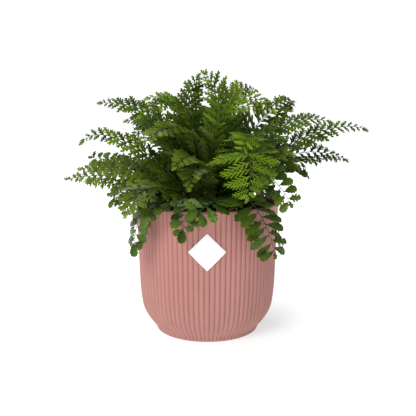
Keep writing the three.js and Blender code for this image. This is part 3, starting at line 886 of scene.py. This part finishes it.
# az: degrees round the pot. sway: how far az turns on the way to the tip. root: distance of the foot from the
# middle. Then bend and tip as (distance, height), the length of the leaflets, the bare share of the stem, the
# roll of the blade in degrees, the kind, and the tone from dark to bright.
fronds = [
    (-62, 12, 24, (80, 156), (94, 89), 20, 0.36, 0, "broad", 0.42),
    (-145, 6, 25, (80, 149), (88, 94), 16, 0.44, 0, "broad", 0.28),
    (-123, -4, 24, (76, 144), (88, 122), 13, 0.52, 0, "broad", 0.22),
    (-104, 0, 24, (74, 146), (86, 112), 13, 0.48, 0, "broad", 0.16),
    (-72, -24, 24, (88, 144), (88, 129), 16, 0.36, 0, "broad", 0.28),
    (-32, 0, 24, (58, 181), (90, 131), 16, 0.42, 50, "broad", 0.42),
    (174, 0, 29, (75, 153), (95, 127), 20, 0.38, -35, "broad", 0.36),
    (130, 0, 28, (78, 162), (98, 112), 26, 0.36, 0, "broad", 0.4),
    (88, 0, 24, (80, 162), (98, 108), 26, 0.36, 0, "broad", 0.4),
    (44, 0, 28, (78, 162), (98, 112), 26, 0.36, 0, "broad", 0.4),
    (-138, 0, 20, (88, 160), (97, 124), 24, 0.34, -15, "cut", 0.72),
    (176, 0, 22, (64, 162), (140, 148), 25, 0.32, -60, "cut", 0.72),
    (-174, 0, 26, (46, 168), (122, 160), 22, 0.36, -55, "cut", 0.7),
    (158, 0, 27, (94, 166), (134, 167), 18, 0.34, -55, "broad", 0.36),
    (-58, -6, 19, (94, 212), (80, 138), 32, 0.42, 0, "fine", 1.08),
    (-51, 0, 24, (60, 184), (90, 154), 22, 0.36, 25, "fine", 0.42),
    (2, 0, 19, (92, 190), (137, 168), 21, 0.34, 55, "cut", 0.36),
    (20, 0, 26, (88, 180), (110, 154), 20, 0.34, 45, "broad", 0.36),
    (64, 0, 19, (82, 198), (116, 142), 30, 0.32, 0, "cut", 0.45),
    (110, 0, 19, (82, 198), (116, 142), 30, 0.32, 0, "cut", 0.45),
    (-106, 0, 14, (36, 190), (98, 168), 21, 0.38, -25, "fine", 0.92),
    (-164, 0, 17, (108, 210), (120, 186), 22, 0.38, -55, "fine", 0.57),
    (-146, 0, 15, (42, 224), (82, 192), 20, 0.38, -40, "fine", 0.3),
    (-46, -26, 14, (90, 222), (86, 176), 26, 0.44, 0, "fine", 0.85),
    (-8, 0, 15, (124, 212), (150, 198), 25, 0.36, 55, "fine", 0.44),
    (154, 0, 20, (54, 216), (95, 205), 20, 0.38, -50, "fine", 0.42),
    (108, 0, 14, (80, 232), (108, 172), 28, 0.38, 0, "fine", 0.5),
    (72, 0, 15, (80, 222), (110, 172), 28, 0.40, 0, "fine", 0.5),
    (38, 0, 21, (76, 216), (106, 166), 26, 0.38, 35, "fine", 0.45),
    (-100, -27, 8, (30, 228), (102, 184), 26, 0.40, -24, "cut", 0.88),
    (-38, 0, 6, (24, 240), (66, 212), 18, 0.40, 40, "fine", 0.7),
    (175, 0, 13, (46, 228), (106, 223), 22, 0.40, -58, "fine", 0.46),
    (-11, 0, 10, (76, 218), (117, 205), 22, 0.38, 55, "fine", 0.53),
    (-38, 0, 0, (22, 256), (76, 215), 18, 0.44, 55, "fine", 0.8),
    (32, 0, 11, (90, 232), (107, 226), 20, 0.46, 50, "cut", 0.4),
    (-172, 0, 10, (20, 240), (58, 227), 21, 0.50, -45, "fine", 0.78),
    (87, 0, 9, (60, 252), (88, 200), 26, 0.50, 0, "fine", 0.5),
    (140, 0, 20, (34, 226), (12, 249), 22, 0.50, -55, "fine", 0.42),
    (200, 0, -19, (-22, 240), (4, 251), 21, 0.50, -110, "fine", 0.6),
    (42, 0, 6, (18, 250), (70, 237), 18, 0.50, 60, "fine", 0.78),
    (-138, 0, 6, (20, 250), (80, 210), 22, 0.46, -45, "fine", 0.64),
    (-100, 0, 19, (66, 182), (86, 150), 24, 0.38, 0, "cut", 0.45),
    (-160, 0, 28, (60, 144), (90, 139), 15, 0.36, -30, "broad", 0.36),
]


class Midrib:
    def __init__(self, row):
        az, sway, root, (bend, crest), (reach, height) = row[:5]

        def at(distance, z, share):
            angle = math.radians(az + sway * share)
            return np.array([distance * math.cos(angle), distance * math.sin(angle), z])

        start = at(root, 0, 0)
        top = soilHeight(start[0], start[1])
        base = top + frondValues["collar"]
        foot = start + [0, 0, top - frondValues["root"]]
        out = root + frondValues["lean"] * (bend - root)
        up = base + frondValues["rise"] * (crest - base)
        ends = [at(root, base, 0), at(out, up, 0), at(bend, crest, 0.4), at(reach, height, 1)]
        t = np.linspace(0, 1, 400)[:, None]
        arch = sum(c * (1 - t) ** (3 - k) * t ** k * ends[k] for k, c in enumerate((1, 3, 3, 1)))
        self.points = np.vstack([foot, arch])
        steps = np.linalg.norm(np.diff(self.points, axis=0), axis=1)
        self.along = np.concatenate([[0], np.cumsum(steps)])
        self.total = self.along[-1]
        middle = math.radians(az + sway / 2)
        self.side = np.array([-math.sin(middle), math.cos(middle), 0])
        self.roll = math.radians(row[7])

    def point(self, distance):
        return np.array([np.interp(distance, self.along, self.points[:, k]) for k in range(3)])

    def axes(self, distance):  # ahead, to the side, and up out of the leaf's face
        low = min(max(distance - 0.6, 0), self.total - 1.2)
        ahead = self.point(low + 1.2) - self.point(low)
        ahead /= np.linalg.norm(ahead)
        side = self.side - ahead * np.dot(self.side, ahead)
        side /= np.linalg.norm(side)
        side = side * math.cos(self.roll) + np.cross(ahead, side) * math.sin(self.roll)
        return ahead, side, np.cross(ahead, side)


def makeStem(midrib, values, name):
    count = values["stemRings"]
    curve = bpy.data.curves.new(name, "CURVE")
    curve.dimensions = "3D"
    curve.bevel_depth = mm
    curve.bevel_resolution = 1
    curve.use_fill_caps = True
    line = curve.splines.new("POLY")
    line.points.add(count - 1)
    for k in range(count):
        share = k / (count - 1)
        place = midrib.point(share * (midrib.total - 1)) * mm
        thinner = (values["tipRadius"] - values["stemRadius"]) * share ** values["taper"]
        line.points[k].co = (*place, 1)
        line.points[k].radius = values["stemRadius"] + thinner
    stem = bpy.data.objects.new(name, curve)
    bpy.context.scene.collection.objects.link(stem)
    focus(stem)
    bpy.ops.object.convert(target="MESH")
    stem = bpy.context.object
    stem.data.materials.clear()
    stem.data.materials.append(stemSkin)
    bpy.ops.object.shade_smooth()
    return stem


def chooseLeaflet(kind, length, share, chance):
    if kind == "broad":
        if length < 8:
            return "broadTip"
        if length < 13.5:
            return chance.choice(["broadShort", "broadLobed"])
        return chance.choice(["broadLong", "broadLobed"])
    if share < frondValues["low"] and kind == "fine":  # the lowest leaflets are fuller
        kind = "cut"
    if length < 7:
        return ("fine" if kind == "fan" else kind) + "Tip"
    if kind == "fan":
        return "fineFan" if length > 13 else "fineShort"
    return kind + ("Short" if length < 15 else "Long")


def paintedShadeOpenness(place):  # 0 deep inside the plant, 1 at its outside; the mask of the painted shade
    near, low = frondValues["deep"]
    wide, tall = frondValues["open"]
    return min(max((math.hypot(place[0], place[1]) - near) / wide, (place[2] - low) / tall, 0.0), 1.0)


def placeLeaflet(midrib, u, turn, length, breadth, kind, tone, chance, atTip=False):
    # turn is 1 on the left of the midrib and -1 on its right
    share = (u - midrib.blade) / (midrib.total - midrib.blade)
    name = chooseLeaflet(kind, length, share, chance)
    leaf = copyOf(leaflets[name + ("Mirrored" if turn > 0 else "")])
    coords = coordsOf(leaf) / mm
    size = length / (leaf["length"] / mm)
    widen = breadth / (leaf["spread"] / mm * 2)
    x = coords[:, 0] * size
    y = coords[:, 1] * widen
    z = coords[:, 2] * size
    droop = chance.uniform(0.02, 0.16)
    z = z - droop * x * x / length
    ahead, side, up = midrib.axes(u)
    spread = frondValues["angle"][kind]
    angle = spread - 14 * share ** 2 + chance.gauss(0, frondValues["angleChance"])
    angle = math.radians(angle) * (not atTip)
    along = ahead * math.cos(angle) + side * turn * math.sin(angle)
    forward = (ahead * math.sin(angle) - side * turn * math.cos(angle)) * (-turn)
    root = midrib.point(u) + side * turn * 0.3
    # the faces lean to the front, or at the back to the back
    outward = (root + along * length) * [0.002, 0.018, 0]
    facing = max(min(np.dot(forward, outward), 1), -1)
    twist = math.radians(chance.gauss(-4, frondValues["twistChance"]) - frondValues["turnOut"] * facing)
    y, z = y * math.cos(twist) - z * math.sin(twist), y * math.sin(twist) + z * math.cos(twist)
    dip = math.atan(frondValues["hang"] * 0.8) * min(length / 20, 1)
    dip += math.radians(chance.gauss(0, frondValues["dipChance"]))
    x, z = x * math.cos(dip) + z * math.sin(dip), z * math.cos(dip) - x * math.sin(dip)
    placed = root + np.outer(x, along) + np.outer(y, forward) + np.outer(z, up)
    setCoords(leaf, placed * mm)
    # painted shade: leaflets deep inside the plant get a darker tone
    deep = frondValues["paintedDeepShade"]
    light = deep + (1 - deep) * paintedShadeOpenness(midrib.point(u) + side * turn * length * 0.6)
    setTone(leaf, (tone + 0.10 * share) * light + chance.gauss(0, frondValues["toneChance"]))
    return leaf


def leafletPlaces(bladeLength, spacing, closing):
    places = []
    u = 0.0
    while u < bladeLength:
        places.append(u)
        u += spacing * (1.0 - closing * (u / bladeLength)) * (0.72 if u < 0.3 * bladeLength else 1.0)
    return places


def dressFrond(number, row):
    wide, bare, _, kind, tone = row[5:]
    if kind == "broad":
        wide = max(wide, 18)
    wide *= frondValues["fuller"].get(number, 1)
    chance = random.Random(100 + number)
    midrib = Midrib(row)
    behind = math.sin(math.radians(row[0])) > 0.25  # the dark leaves seen between the front ones
    growth = frondValues["growth"].get(number, kind)
    midrib.blade = midrib.total * bare * frondValues["barer"].get(number, frondValues["bareShare"])
    bladeLength = midrib.total - midrib.blade
    parts = [makeStem(midrib, frondValues, "stem")]
    setTone(parts[0], tone)
    spacing = frondValues["spacing"][growth]
    closing = 0.2 if kind == "broad" else 0.45  # how much closer the leaflets stand at the tip
    reachRows = frondValues["broadReach" if kind == "broad" else "reach"]
    places = leafletPlaces(bladeLength - 3, spacing, closing)
    for u in places:
        share = u / bladeLength
        reach = wide * between(reachRows, share)
        gap = spacing * (1.0 - closing * share)
        for turn in (1, -1):
            offset = 0.0 if turn > 0 else 0.4 * gap
            length = max(reach * chance.uniform(0.86, 1.06), 3.0)
            fill = frondValues["lowFill"] if growth != "fan" and share < frondValues["low"] else 1.0
            fill *= frondValues["behindFill"] if behind else frondValues["denser"].get(number, 1.0)
            breadth = min(gap * frondValues["overlap"][growth], length * frondValues["stout"][growth]) * fill
            place = midrib.blade + min(u + offset, bladeLength - 2)
            parts.append(placeLeaflet(midrib, place, turn, length, breadth, growth, tone, chance))
    large = kind == "broad" and number not in frondValues["smallTips"]
    tipSize = frondValues["broadTip" if large else "tip"]
    tip = placeLeaflet(midrib, midrib.total - 3, -1, tipSize, tipSize * 0.7, kind, tone + 0.1, chance, True)
    parts.append(tip)
    piece = joinPieces(parts, kind + "Frond%02d" % number)
    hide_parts("frond_%02d" % number)
    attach(piece, "root")
    return piece


faceCount = 0
for number, row in enumerate(fronds, 1):
    faceCount += len(dressFrond(number, row).data.polygons)
for leaf in leaflets.values():
    bpy.data.objects.remove(leaf)
print("fronds:", len(fronds), "with", faceCount, "faces")
